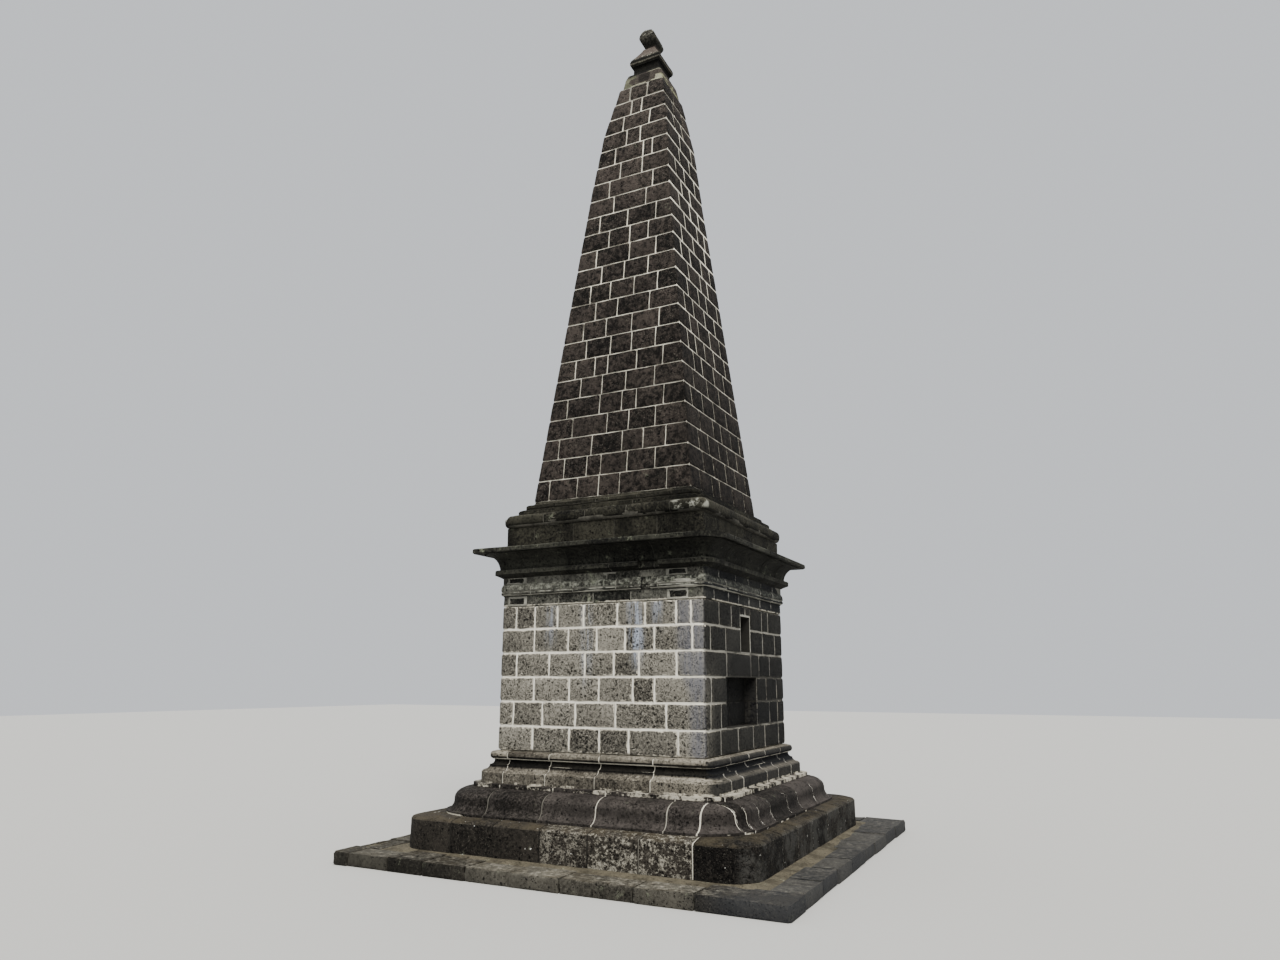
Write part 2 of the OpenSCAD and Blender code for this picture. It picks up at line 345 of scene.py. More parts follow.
def finished(piece, finish, slot, *nodes):
    """Gives a piece its material and its body, and hides the nodes it stands for. The slot is not used."""
    piece.data.materials.clear()
    piece.data.materials.append(finish)
    only(piece)
    bpy.ops.object.shade_smooth_by_angle(angle=math.radians(38))
    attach(piece, "root")
    if nodes:
        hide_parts(*nodes)


# A block is a cube whose outer face is cut into a grid by planes near its edges and across its
# middle, so that its arrises and its face can be worked. RIM is where those planes lie, ARRIS is
# how wide the rim gets, and LIP how far it lies behind the face. The unseen back is one face.

RIM = 0.8
ARRIS = 0.016
LIP = 0.005


def cut_cube(name, across, back_planes):
    bpy.ops.mesh.primitive_cube_add(size=2)
    block = bpy.context.object
    block.name = name
    with editing(block):
        for axis, places in across.items():
            for place in places:
                where, normal = [0, 0, 0], [0, 0, 0]
                where[axis], normal[axis] = place, 1
                cut(where, normal)
        bpy.ops.mesh.select_all(action="DESELECT")
    for axis, place in back_planes:
        for face in block.data.polygons:
            face.select = abs(face.center[axis] - place) < 1e-4
        with editing(block):
            bpy.ops.mesh.select_mode(type="FACE")
            bpy.ops.mesh.dissolve_faces()
            bpy.ops.mesh.select_all(action="DESELECT")
    return block


plain_block = cut_cube("plain_block", {0: (-RIM, -0.3, 0.3, RIM), 1: (-RIM,), 2: (-RIM, 0.0, RIM)}, [(1, 1)])
quoin_block = cut_cube("quoin_block",
                       {0: (-RIM, 0.0, RIM, 0.9), 1: (-0.9, -RIM, 0.0, RIM), 2: (-RIM, 0.0, RIM)},
                       [(1, 1), (0, -1), (2, 1), (2, -1)])
plain_grid = mesh_of(plain_block)
quoin_grid = mesh_of(quoin_block)


def spread(t, low, high, margin):
    """Places a grid coordinate between two ends, with the rim lines at a fixed distance in."""
    middle = (low + high) / 2
    inner = (high - low) / 2 - margin
    edge = np.clip((np.abs(t) - RIM) / (1 - RIM), 0, 1)
    return middle + np.sign(t) * (np.minimum(np.abs(t), RIM) / RIM * inner + edge * margin)


def turned(points, quarter):
    """Turns points about the upright axis by quarters, from the -Y face to the next one."""
    c, s = [(1, 0), (0, 1), (-1, 0), (0, -1)][quarter]
    x, y, z = points.T
    return np.stack([c * x - s * y, s * x + c * y, z], 1)


def plumb(half):
    """The line of a wall that stands upright."""
    return lambda z: half + 0 * z


def stone_values(stone, dice, rim, grit=None):
    carry(stone, "tone", dice.random())
    carry(stone, "grit", dice.random() if grit is None else grit)
    carry(stone, "rim", np.clip(rim, 0, 0.1))
    return stone


def plain_stone(dice, quarter, x0, x1, z0, z1, half_at, depth=0.16, back=0.0, rough=0.004, margin=ARRIS):
    """One squared stone in the face of a course, its outer face on the line of the wall."""
    t = plain_grid
    x = spread(t[:, 0], x0, x1, margin)
    z = spread(t[:, 2], z0, z1, margin)
    rim_x = np.abs(t[:, 0]) > 0.99
    rim_z = np.abs(t[:, 2]) > 0.99
    front = t[:, 1] < -0.99
    arris = t[:, 1] < -0.5
    wobble = np.array([[dice.uniform(-1, 1) for _ in range(3)] for _ in t]) * rough
    x = x + np.where(rim_x & arris, wobble[:, 0], 0)
    z = z + np.where(rim_z & arris, wobble[:, 2], 0)
    into = np.where(front, np.where(rim_x | rim_z, LIP, 0.0), np.where(arris, ARRIS, depth))
    into = into + np.where(front, np.abs(wobble[:, 1]) * 0.7, 0) + back
    stone = twin(plain_block, "stone")
    reshape_mesh(stone, turned(np.stack([x, into - half_at(z), z], 1), quarter))
    reach = np.minimum(np.minimum(x - x0, x1 - x), np.minimum(z - z0, z1 - z))
    return stone_values(stone, dice, np.where(front, reach, 0.0))


def quoin_stone(dice, quarter, x0, y1, z0, z1, half_at, radius, rough=0.004):
    """A corner stone that shows on two faces, its upright arris worn round."""
    t = quoin_grid
    z = spread(t[:, 2], z0, z1, ARRIS)
    rim_z = np.abs(t[:, 2]) > 0.99
    half = half_at(z)
    wobble = np.array([[dice.uniform(-1, 1) for _ in range(3)] for _ in t]) * rough

    def along(u, start):
        straight = half - radius - start - ARRIS
        share = (np.clip(u, -RIM, RIM) + RIM) / (2 * RIM)
        head = np.clip((u + 1) / (1 - RIM), 0, 1) * ARRIS
        return start + head + straight * share, np.clip((u - RIM) / (1 - RIM), 0, 1)

    across, inward = t[:, 0], -t[:, 1]
    flat_x, turn_x = along(across, x0)
    flat_y, turn_y = along(inward, -y1)
    on_front = inward > 0.99
    on_side = across > 0.99
    round_front = on_front & (across > RIM)
    round_side = on_side & (inward > RIM)
    bent = round_front | round_side
    angle = np.where(on_front, turn_x - 2, -turn_y) * math.pi / 4
    x = np.where(bent, half - radius + radius * np.cos(angle), np.where(on_side, half, flat_x))
    y = np.where(bent, radius - half + radius * np.sin(angle), np.where(on_front, -half, -flat_y))
    outer = on_front | on_side
    end_x = outer & (across < -0.99)
    end_y = outer & (inward < -0.99)
    dent = np.where(outer, np.where(rim_z, LIP, 0.0) + np.abs(wobble[:, 1]) * 0.7, 0)
    dent = dent + np.where(end_x | end_y, 0.004, 0)
    out_x = np.where(on_side, 1.0, 0.0) + np.where(round_front, 0.7, 0)
    out_y = np.where(on_front, -1.0, 0.0) - np.where(round_side, 0.7, 0)
    x = x - out_x * dent + np.where(end_x, wobble[:, 0], 0)
    y = y - out_y * dent + np.where(end_y, wobble[:, 0], 0)
    z = z + np.where(rim_z & outer, wobble[:, 2], 0)
    stone = twin(quoin_block, "quoin")
    reshape_mesh(stone, turned(np.stack([x, y, z], 1), quarter))
    reach = np.minimum(np.minimum(z - z0, z1 - z), np.where(on_front, flat_x - x0, 0.1))
    reach = np.minimum(reach, np.where(on_side & ~on_front, flat_y + y1, 0.1))
    return stone_values(stone, dice, np.where(outer, reach, 0.0))


def bond(dice, half, low, high, avoid=()):
    """Joints along a face, at random stone lengths, clear of the joints of the course below."""
    for _ in range(40):
        joints = []
        x = -half + dice.uniform(0.45, 1.0) * high
        while x < half - 0.45 * low:
            joints.append(x)
            x += dice.uniform(low, high)
        gaps_kept = all(abs(a - b) > 0.05 for a in joints for b in avoid)
        if joints and half - joints[-1] > 0.3 * low and gaps_kept:
            break
    return joints


def lay_course(dice, joints, z0, z1, half_at, gap, radius, rough=0.004, skip=(), ends=None):
    """Lays the four corner stones and the stones between them, from the joints of each face."""
    stones = []

    def end(quarter, joint, away):
        return joint + away * (ends or {}).get((quarter, joint), gap / 2)

    for quarter in range(4):
        mine = joints[quarter]
        following = joints[(quarter + 1) % 4]
        stones.append(quoin_stone(dice, quarter, mine[-1] + gap / 2, following[0] - gap / 2,
                                  z0 + gap / 2, z1 - gap / 2, half_at, radius, rough))
        for left, right in zip(mine, mine[1:]):
            if (quarter, left) not in skip:
                stones.append(plain_stone(dice, quarter, end(quarter, left, 1), end(quarter, right, -1),
                                          z0 + gap / 2, z1 - gap / 2, half_at, rough=rough))
    return stones


ground_half, _, ground_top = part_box("ground_course")[1]
ground_gap = 0.012
ground_dice = random.Random(11)
ground_joints = [
    [-1.86, -1.42, -1.05, -0.62, -0.20, 0.25, 0.87, 1.34],
    [-1.66, -1.22, -0.77, -0.34, 0.16, 0.55, 1.05, 1.52],
    bond(ground_dice, ground_half, 0.38, 0.60),
    bond(ground_dice, ground_half, 0.38, 0.60),
]
ground_stones = []
for quarter in range(4):
    mine = ground_joints[quarter]
    following = ground_joints[(quarter + 1) % 4]
    ground_stones.append(quoin_stone(
        ground_dice, quarter, mine[-1] + ground_gap / 2, following[0] - ground_gap / 2,
        0.0, ground_top - 0.004, plumb(ground_half), radius=0.03, rough=0.006))
    for left, right in zip(mine, mine[1:]):
        sunk = ground_dice.uniform(0.0, 0.012)
        inner = 0.36 if quarter == 1 and left > 0.1 else ground_dice.uniform(0.22, 0.33)
        ground_stones.append(plain_stone(
            ground_dice, quarter, left + ground_gap / 2, right - ground_gap / 2, 0.0, ground_top - sunk,
            plumb(ground_half), depth=inner, back=ground_dice.uniform(0, 0.012), rough=0.006))
ground_edge = joined(ground_stones, "ground_edge_stones")
edge_points = mesh_of(ground_edge)
edge_points[:, 2] = np.maximum(edge_points[:, 2], 0)
reshape_mesh(ground_edge, edge_points)
slab_stone = stone_finish("slab_stone", (0.014, 0.0125, 0.010), (0.078, 0.073, 0.060),
                          pores=0.35, lime=0.1, lichen=0.3, damp=0.35, earth=0.5)
far = slab_stone.part("X").over(1.2, 1.7)
slab_stone.shade(1 - 0.35 * far - 0.4 * slab_stone.part("X").under(-0.2, -1.2))
slab_stone.stain_and_light(0.4 * far, (0.046, 0.049, 0.055))
finished(ground_edge, slab_stone.done(), "ground_stone")


def square_block(name, half, z0, z1):
    bpy.ops.mesh.primitive_cube_add(size=1, location=(0, 0, (z0 + z1) / 2),
                                    scale=(2 * half, 2 * half, z1 - z0))
    block = bpy.context.object
    block.name = name
    bpy.ops.object.transform_apply(location=True, rotation=False, scale=True)
    return block


bed_half = ground_half - 0.05
bed_top = 0.104
step_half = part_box("plinth_step")[1].x
earth_bed = square_block("ground_earth_bed", bed_half, 0.0, bed_top)
with editing(earth_bed):
    bpy.ops.mesh.select_all(action="SELECT")
    bpy.ops.mesh.subdivide(number_cuts=40)
earth_points = mesh_of(earth_bed)
for point in earth_points:
    if point[2] > bed_top - 0.004:
        reach = max(abs(point[0]), abs(point[1]))
        if reach < step_half + 0.03:
            point[2] = ground_top + 0.001
            continue
        rise = noise.noise(Vector(point) * 3.0) * 0.006 + noise.noise(Vector(point) * 11.0) * 0.004
        heaped = 0.004 if reach < step_half + 0.075 else -0.010
        point[2] = bed_top + rise + heaped
reshape_mesh(earth_bed, earth_points)
stone_values(earth_bed, ground_dice, 0.1, grit=0.3)
bedding_earth = stone_finish("bedding_earth", (0.014, 0.0115, 0.007), (0.094, 0.083, 0.059),
                             pores=0.15, lime=0.0, lichen=0.35, damp=0.55)
finished(earth_bed, bedding_earth.done(0.012), "ground_stone", "ground_course")


# The moulded pedestal: a step, an ogee course, a block course with a weathered top, a scotia and a
# torus, cut from long stones and set in thin lime joints. The corner stones turn each moulding.

def solid_copy(node, name):
    """A copy of a course as one closed solid, with its flat faces whole again."""
    course = twin(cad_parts[node], name)
    course.parent = None
    course.matrix_world = Matrix.Identity(4)
    for key in list(course.keys()):
        del course[key]
    only(course)
    bpy.ops.mesh.customdata_custom_splitnormals_clear()
    with editing(course):
        bpy.ops.mesh.select_mode(type="VERT")
        bpy.ops.mesh.select_all(action="SELECT")
        bpy.ops.mesh.remove_doubles(threshold=0.00005)
        bpy.ops.mesh.select_all(action="SELECT")
        bpy.ops.mesh.dissolve_limited(angle_limit=math.radians(0.5))
    return course


def sawn(course, cuts):
    """Saws a copy of a course along planes and keeps what lies inside all of them."""
    stone = twin(course, "stone")
    with editing(stone):
        for place, normal in cuts:
            cut(place, normal, use_fill=True, clear_outer=True)
        bpy.ops.mesh.select_all(action="DESELECT")
    return stone


def weave(course, step):
    """Cuts a course across both ways, so that its mouldings have points to wear by."""
    low, high = [Vector(c) for c in (course.bound_box[0], course.bound_box[6])]
    with editing(course):
        for axis in (0, 1):
            count = int((high[axis] - low[axis]) / step)
            for i in range(1, count):
                place = [0, 0, 0]
                place[axis] = low[axis] + (high[axis] - low[axis]) * i / count
                cut(place, [1 - axis, axis, 0])
        bpy.ops.mesh.select_all(action="DESELECT")


def moulded_course(dice, node, joints, gap, wear, depth=0.45, step=0.12, hidden=(0.10, 0.38, 0.52),
                   pale=None, left_out=()):
    """Saws a moulded course into its stones at the joints of its four faces, and wears them."""
    low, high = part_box(node)
    half = (high.x - low.x) / 2
    short, least, most = hidden
    joints = joints + [bond(dice, half - short, least, most) for _ in range(4 - len(joints))]
    course = solid_copy(node, node + "_solid")
    weave(course, step)
    stones = []
    for quarter in range(4):
        def plane(*place_and_normal):
            return turned(np.array(place_and_normal), quarter).tolist()

        mine = joints[quarter]
        following = joints[(quarter + 1) % 4]
        spans = [(mine[-1], following[0], True)] + [(*pair, False) for pair in zip(mine, mine[1:])]
        for left, right, corner in spans:
            if (quarter, left) in left_out:
                continue
            cuts = [plane((left + gap / 2, 0, 0), (-1, 0, 0))]
            if corner:
                cuts.append(plane((0, right - gap / 2, 0), (0, 1, 0)))
            else:
                cuts.append(plane((right - gap / 2, 0, 0), (1, 0, 0)))
                cuts.append(plane((0, depth - half, 0), (0, 1, 0)))
            stone = sawn(course, cuts)
            place = turned(mesh_of(stone), -quarter % 4)
            reach = np.minimum(place[:, 0] - left, right - place[:, 1 if corner else 0])
            stones.append(stone_values(stone, dice, reach))
            if pale and (quarter, left) in pale:
                carry(stone, "tone", pale[quarter, left])
                carry(stone, "grit", 1.0)
    bpy.data.objects.remove(course)
    for stone in stones:
        points = mesh_of(stone)
        lean = dice.uniform(-1, 1) * wear * 0.3
        for point in points:
            place = Vector(point)
            out = max(abs(point[0]), abs(point[1]))
            worn = (noise.noise(place * 5.0) + 0.6 * noise.noise(place * 17.0)) * wear
            point[:2] *= 1 + (min(lean + worn, wear) - wear) / max(out, 0.1)
            if low.z + 0.002 < point[2]:
                point[2] -= abs(noise.noise(place * 7.0)) * wear * 0.7
        reshape_mesh(stone, points)
    return stones


def mortar_core(node, name, sink=0.004, shrink=0.007):
    """The mortar behind the stones of a course, set back and a little down, or up with -sink."""
    core = solid_copy(node, name)
    low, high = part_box(node)
    points = mesh_of(core)
    half = (high.x - low.x) / 2
    points[:, :2] *= 1 - shrink / half
    points[:, 2] = np.clip(points[:, 2] - sink, low.z + 0.002, high.z - 0.002)
    reshape_mesh(core, points)
    return core


def washed_down(f, wander):
    """Where lime has run on to the ledge of the ogee: its patches, and a height with a ragged edge."""
    patchy = (f.cloud(6.0, 8.0, 0.78) + 0.06 * f.part("X").over(0.1, 1.1)).over(0.50, 0.58)
    return patchy, f.above("base_block") + wander * f.cloud(18.0, 7.0, 0.75) - wander / 2


base_dice = random.Random(23)
# The pedestal stone gets painted shade on the faces turned from the light.
block_stone = stone_finish("pedestal_stone", (0.03, 0.0263, 0.021), (0.2175, 0.1988, 0.1613),
                           pores=0.6, lime=0.3, lichen=0.12, damp=0.40, earth=0.15, side_shade=0.74)
height = block_stone.above("base_torus")
# Painted shadow in the scotia under the torus roll.
shadow_under_roll = 0.95 * height.between(-0.033, -0.007, 0.051, 0.057)
shadow_under_roll = shadow_under_roll + 0.40 * height.between(0.051, 0.057, 0.067, 0.071)
shadow_under_roll = shadow_under_roll + 0.80 * height.between(0.064, 0.068, 0.075, 0.079)
block_stone.shade(1 - shadow_under_roll)
# Painted blue-black shade on the +X face.
blue_shade(block_stone, 0.45)
pointed(block_stone, 0.010, 0.6)
patchy, height = washed_down(block_stone, 0.03)
block_stone.stain_and_light(0.7 * height.under(0.017, 0.013) * patchy, LIME)

ogee_stone = stone_finish("ogee_stone", (0.008, 0.0068, 0.0056), (0.076, 0.066, 0.060),
                          pores=0.35, lime=0.10, lichen=0.2, damp=0.45, rugged=2.6)
# Darker overall, with painted shade on the +X face.
ogee_stone.shade(0.58 - 0.12 * ogee_stone.facing("X").over(0.1, 0.6))
pointed(ogee_stone, 0.009, 0.9)
patchy, height = washed_down(ogee_stone, 0.024)
ogee_stone.stain_and_light(0.7 * height.over(-0.029, -0.025) * patchy, LIME)
foot_lime = ogee_stone.cloud(3.0, 6.0) + 0.15 * ogee_stone.part("X").under(-0.95, -1.15)
foot_lime = foot_lime.over(0.60, 0.64) * ogee_stone.above("base_ogee").under(0.015, 0.007)
ogee_stone.stain_and_light(0.8 * foot_lime, LIME)

step_stone = stone_finish("step_stone", (0.0044, 0.0039, 0.0034), (0.031, 0.0272, 0.0225),
                          pores=0.95, lime=0.12, lichen=0.1, damp=0.25, earth=0.75, rugged=2.8)
greyed = step_stone.facing("X").over(0.3, 0.7) * step_stone.cloud(5.0, 7.0, 0.72).over(0.44, 0.58)
step_stone.stain_and_light(0.55 * greyed, (0.060, 0.059, 0.054))
pointed(step_stone, 0.007, 0.45)
crusted = step_stone.cloud(24.0, 9.0, 0.82) + 0.25 * step_stone.cloud(3.0)
crusted = crusted.over(0.62, 0.70) * step_stone.own("tone").over(1.1, 1.4) * (1 - 0.8 * step_stone.hole)
from_joint = step_stone.own("rim") + 0.012 * step_stone.cloud(40.0, 5.0) - 0.006
step_stone.stain_and_light(0.85 * crusted * from_joint.over(0.004, 0.014), (0.34, 0.32, 0.265))
step_stone.stain_and_light(0.8 * step_stone.cloud(22.0, 2.0, 0.5).over(0.735, 0.75), (0.7, 0.7, 0.66))

block_look = block_stone.done()
base_looks = {"plinth_step": step_stone.done(), "base_ogee": ogee_stone.done(),
              "base_block": block_look, "base_torus": block_look}
base_joints = {
    "plinth_step": [[-1.08, -0.64, -0.18, 0.27, 0.72, 1.17], [-0.96, -0.56, -0.12, 0.36, 0.80, 1.22]],
    "base_ogee": [[-0.86, -0.30, 0.22, 0.86, 1.14], [-1.25, -1.14, -0.90, -0.61, -0.15, 0.17, 0.66, 1.10]],
    "base_block": [[-0.88, -0.43, 0.07, 0.60], [-0.89, -0.60, 0.02, 0.35, 0.75]],
    "base_torus": [[-0.89, -0.44, 0.07, 0.59], [-0.70, -0.25, 0.20, 0.66]],
}
pale_stones = {"plinth_step": {(0, -0.18): 1.26, (0, 0.27): 1.6, (0, 0.72): 1.6},
               "base_block": {(0, 0.60): 1.0}}
cores = []
for node, joints in base_joints.items():
    stones = moulded_course(base_dice, node, joints, gap=0.013 if node == "base_ogee" else 0.010,
                            wear=0.0025, hidden=(0.15, 0.40, 0.55), pale=pale_stones.get(node))
    finished(joined(stones, node + "_stones"), base_looks[node], "base_stone", node)
    cores.append(mortar_core(node, node + "_mortar"))
base_lime = mortar_finish("base_lime", (0.42, 0.40, 0.33), (0.85, 0.81, 0.70), 0.30)
across = base_lime.part("X")
dull = 0.85 * across.under(0.1, -0.35) + 0.5 * across.between(0.7, 0.8, 0.9, 1.0)
dull = dull * base_lime.above("base_block").under(-0.005, -0.035)
at_step = base_lime.above("base_ogee").under(0.005, -0.005) * across.under(1.0, 0.6)
base_lime.shade(1 - dull.maths("MAXIMUM", dull, 0.975 * at_step))
finished(joined(cores, "base_mortar"), base_lime.done(0.004), "mortar")


# The die: six courses of squared volcanic stone in wide lime joints, some smooth and some full of
# gas holes. A wide recess and an upright niche are set into the shaded face.

die_dice = random.Random(5)
die_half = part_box("die_course_1")[1].x
die_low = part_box("die_course_1")[0].z
die_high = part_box("die_course_6")[1].z
recess_left, recess_right = -0.575, 0.22
recess_deep = 0.13
niche_left, niche_right = -0.18, 0.07
niche_foot, niche_head = 1.80, 2.13
niche_deep = 0.15
die_gap = 0.018
joint_deep = 0.009

die_stone = stone_finish("die_stone", (0.0413, 0.0382, 0.0323), (0.255, 0.24, 0.2025),
                         pores=1.25, lime=0.85, varied=0.45)
wander = 0.09 * die_stone.cloud(1.0, 6.0, 0.65, die_stone.stretched((7.0, 7.0, 2.2))) - 0.045
threads = die_stone.cloud(1.0, 7.0, 0.75, die_stone.stretched((26.0, 26.0, 1.6), (1.7, 0.0, 0.3)))
front = die_stone.facing("Y").under(-0.4, -0.8)
streaks = 0.0
for across, wide, foot, strong in ((-0.50, 0.10, 1.85, 0.4), (-0.12, 0.09, 1.50, 0.5),
                                   (0.39, 0.11, 1.66, 1.0), (0.60, 0.09, 1.95, 0.5)):
    away = die_stone.part("X") + wander - across
    near = away.maths("ABSOLUTE", away).under(wide, 0.0)
    streaks = near * strong * die_stone.part("Z").over(foot - 0.12, foot + 0.25) + streaks
streaks = streaks * front * threads.over(0.40, 0.62) * (1 - 0.85 * die_stone.hole)
die_stone.stain_and_light(0.75 * streaks, (0.42, 0.48, 0.60))
spreads = 0.11 * die_stone.part("Z").over(1.35, 1.75)
corner = (die_stone.part("X") + wander + spreads).over(0.86, 0.96) * front
die_stone.stain_and_light(0.72 * corner * (0.35 + 0.65 * threads.over(0.36, 0.60)), (0.115, 0.118, 0.140))


def shade_in_openings(f):
    """1 inside the recess and the niche, which are painted dark as shade."""
    deep = f.part("X").between(0.80, 0.82, die_half - 0.0105, die_half - 0.0085)
    return deep * f.part("Y").between(recess_left - 0.02, recess_left - 0.01,
                                      recess_right + 0.01, recess_right + 0.02)


def shade_on_die_sides(f):
    """How far the three faces beside the lit one are painted dark as shade, less near the lit corners."""
    edge = 0.25 * f.cloud(1.0, 6.0, 0.6, f.stretched((9.0, 9.0, 1.5))) - 0.125
    inward = (f.part("Y") + edge).over(-1.02, -0.80)
    inward = inward.maths("MAXIMUM", inward, (f.part("Z") + 0.5 * edge).over(1.45, 1.75))
    return (0.72 + 0.28 * inward) * f.facing("X").over(0.25, 0.8) \
        + 0.45 * f.facing("X").under(-0.25, -0.8) + 0.8 * f.facing("Y").over(0.25, 0.8)


def sooted(f):
    """The soot around the recess on the shaded face, from 0 to 1."""
    edge = 0.5 * f.cloud(4.0, 5.0) - 0.25
    up_to = (f.part("Z") + edge).between(1.02, 1.20, 1.66, 1.88)
    return f.facing("X").over(0.5, 0.8) * up_to * (f.part("Y") + edge).over(-0.70, -0.45)


# Painted shade on the die's faces beside the lit one and inside the recess and the niche.
shade_veil = 0.86 * shade_on_die_sides(die_stone)
die_stone.shade(1 - shade_veil.maths("MAXIMUM", shade_veil, 0.905 * shade_in_openings(die_stone)))
die_stone.shade(1 - 0.50 * sooted(die_stone))
# Painted blue-black shade on the +X face.
blue_shade(die_stone, 0.2)
die_look = die_stone.done(0.010)
die_front = {
    1: [-0.67, -0.28, 0.03, 0.32, 0.79],
    2: [-0.89, -0.57, -0.22, 0.19, 0.68],
    3: [-0.67, -0.29, 0.02, 0.36, 0.57],
    4: [-0.87, -0.51, -0.13, 0.17, 0.42, 0.78],
    5: [-0.68, -0.31, -0.01, 0.28, 0.57, 0.93],
    6: [-0.89, -0.68, -0.43, -0.15, 0.20, 0.48, 0.78, 0.92],
}
die_side = {
    1: [-0.73, -0.31, 0.09, 0.42, 0.84],
    2: [-0.95, -0.71, recess_left, recess_right, 0.58, 0.83],
    3: [-0.93, recess_left, recess_right, 0.50, 0.82],
    4: [-0.56, 0.07, 0.30, 0.62],
    5: [-0.93, -0.57, niche_left, niche_right, 0.43, 0.81],
    6: [-0.72, -0.42, niche_left, niche_right, 0.42, 0.61],
}
ends = {(1, recess_left): 0.0, (1, recess_right): 0.0, (1, niche_left): 0.014, (1, niche_right): 0.014}
tuck = 0.02
previous = [(), (), (), ()]
for course in range(1, 7):
    node = "die_course_%d" % course
    low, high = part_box(node)
    joints = [die_front[course], die_side[course]]
    joints += [bond(die_dice, die_half, 0.24, 0.42, previous[q]) for q in (2, 3)]
    previous = joints
    skip = {2: recess_left, 3: recess_left, 5: niche_left, 6: niche_left}.get(course)
    stones = lay_course(die_dice, joints, low.z, high.z, plumb(die_half), die_gap, 0.03,
                        skip=((1, skip),), ends=ends)
    behind = []
    if course in (2, 3):
        behind.append((recess_left - tuck + 0.006, -0.196, low.z + 0.006, high.z - 0.006, recess_deep))
        behind.append((-0.184, recess_right + tuck - 0.006, low.z + 0.006, high.z - 0.006, recess_deep))
    if course == 5:
        behind.append((niche_left - tuck, niche_right + tuck, niche_foot - tuck, high.z, niche_deep))
    if course == 6:
        behind.append((niche_left - tuck, niche_right + tuck, low.z, niche_head, niche_deep))
    for left, right, foot, head, deep in behind:
        stones.append(plain_stone(die_dice, 1, left, right, foot, head, plumb(die_half - deep), depth=0.10))
    over_niche = [(niche_left - 0.012, -0.062), (-0.042, niche_right + 0.012)] if course == 6 else []
    for left, right in over_niche:
        stones.append(plain_stone(die_dice, 1, left, right, niche_head + 0.020, high.z - die_gap / 2,
                                  plumb(die_half)))
    finished(joined(stones, node + "_stones"), die_look, "die_stone", node)

mortar_half = die_half - joint_deep
die_mortar = square_block("die_mortar", mortar_half, die_low, die_high)
for edge in die_mortar.data.edges:
    foot, head = [die_mortar.data.vertices[i].co.z for i in edge.vertices]
    edge.select = abs(foot - head) > 0.1
with editing(die_mortar):
    bpy.ops.mesh.select_mode(type="EDGE")
    bpy.ops.mesh.bevel(offset=0.03, segments=4)
openings = [
    (recess_left - 0.004, recess_right + 0.004, 1.128, 1.568, recess_deep - 0.001),
    (niche_left, niche_right, niche_foot, niche_head, niche_deep - 0.001),
]
for left, right, foot, head, deep in openings:
    with editing(die_mortar):
        for place, normal in (((0, left, 0), (0, 1, 0)), ((0, right, 0), (0, 1, 0)),
                              ((0, 0, foot), (0, 0, 1)), ((0, 0, head), (0, 0, 1))):
            cut(place, normal)
        bpy.ops.mesh.select_all(action="DESELECT")
    for face in die_mortar.data.polygons:
        c = face.center
        face.select = c.x > mortar_half - 0.001 and left < c.y < right and foot < c.z < head
    with editing(die_mortar):
        bpy.ops.mesh.select_mode(type="FACE")
        bpy.ops.mesh.extrude_region_move(TRANSFORM_OT_translate={"value": (-deep, 0, 0)})
die_lime = mortar_finish("die_lime", (0.60, 0.575, 0.49), (0.92, 0.885, 0.78), 0.15)
# Painted shade on the mortar of the die's faces beside the lit one.
die_lime.shade(1 - 0.68 * shade_on_die_sides(die_lime))
die_lime.shade(1 - 0.80 * sooted(die_lime))
rendered = die_lime.part("Y").between(niche_left - 0.030, niche_left - 0.026,
                                      niche_right + 0.026, niche_right + 0.030)
rendered = rendered * die_lime.part("Z").between(niche_foot, niche_foot + 0.01,
                                                 niche_head + 0.026, niche_head + 0.030)
die_lime.stain_and_light(rendered * die_lime.facing("X").over(0.8, 0.9), (0.36, 0.355, 0.31))
# Painted shade inside the recess and the niche.
die_lime.shade(1 - shade_in_openings(die_lime) * (0.96 - 0.08 * die_lime.facing("X")))
finished(die_mortar, die_lime.done(0.004), "mortar")


# The entablature: a plain course with two small inset stones, an architrave moulding, a second
# plain course and the deep hollow and face of the cornice. Rain and lichen have blackened it.

cornice_dice = random.Random(31)
# The frieze stone gets painted shade on the faces turned from the light.
frieze_stone = stone_finish("frieze_stone", (0.0105, 0.0108, 0.0095), (0.112, 0.110, 0.093),
                            pores=0.45, lime=0.35, lichen=0.45, damp=0.6, side_shade=0.55, rugged=3.4)
# Painted blue-black shade on the +X face.
blue_shade(frieze_stone, 0.45)
pointed(frieze_stone, 0.008, 0.75)
bedding = frieze_stone.above("frieze_lower") + 0.035 * frieze_stone.cloud(30.0, 7.0, 0.75) - 0.0175
bedding = bedding.under(0.013, 0.008) * frieze_stone.cloud(5.0, 5.0, 0.7).over(0.42, 0.50)
frieze_stone.stain_and_light(0.60 * bedding, LIME)
height = frieze_stone.above("architrave")
# Painted highlight along the top of the architrave's lower roll, in patches.
crest_highlight = height.between(0.028, 0.032, 0.038, 0.042) * frieze_stone.cloud(7.0, 8.0, 0.8).over(0.48, 0.55)
frieze_stone.stain_and_light(0.55 * crest_highlight, (0.42, 0.42, 0.36))
# Painted light on the architrave's upper band, pale and mottled, weaker on the shaded +X face.
band_highlight = frieze_stone.cloud(24.0, 9.0, 0.80).over(0.46, 0.62) * height.between(0.044, 0.054, 0.112, 0.118)
band_highlight = band_highlight * (1 - 0.45 * frieze_stone.facing("X").over(0.3, 0.8))
frieze_stone.stain_and_light(0.60 * band_highlight, (0.34, 0.35, 0.29))
# Painted shadow in the groove over the lower roll and in the undercut beneath it.
groove_shadow = height.between(0.039, 0.043, 0.049, 0.054) + height.between(0.008, 0.011, 0.015, 0.019)
frieze_stone.shade(1 - 0.7 * groove_shadow)
frieze_look = frieze_stone.done()

